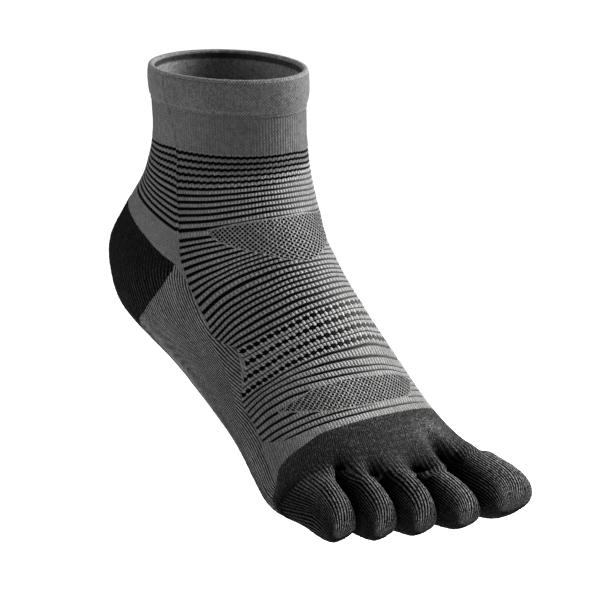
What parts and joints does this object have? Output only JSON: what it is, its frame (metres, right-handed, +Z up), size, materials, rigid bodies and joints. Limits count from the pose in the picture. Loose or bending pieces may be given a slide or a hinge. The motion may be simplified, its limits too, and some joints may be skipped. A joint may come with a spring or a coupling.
{
  "type": "toe sock",
  "caption": "Knitted ankle sock with separate toes for the right foot, in its worn form: open cuff, striped instep, dark heel and toes.",
  "frame": {"origin": "centre of the cuff's mouth, where the leg goes in", "axes": "+Z up along the leg, the toes point along -Y, the big toe's side is +X"},
  "size_m": [0.0892, 0.2242, 0.1812],
  "materials": {
    "grey_knit": "matt charcoal heather knit",
    "striped_knit": "matt grey heather knit with thin black stripes",
    "black_knit": "matt black terry knit"
  },
  "bodies": {
    "root": {"cuff": "grey_knit", "leg": "striped_knit", "heel_pocket": "black_knit", "instep_panel": "striped_knit", "sole_panel": "grey_knit", "toe_box": "black_knit", "big_toe": "black_knit", "second_toe": "black_knit", "third_toe": "black_knit", "fourth_toe": "black_knit", "little_toe": "black_knit"}
  },
  "joints": []
}
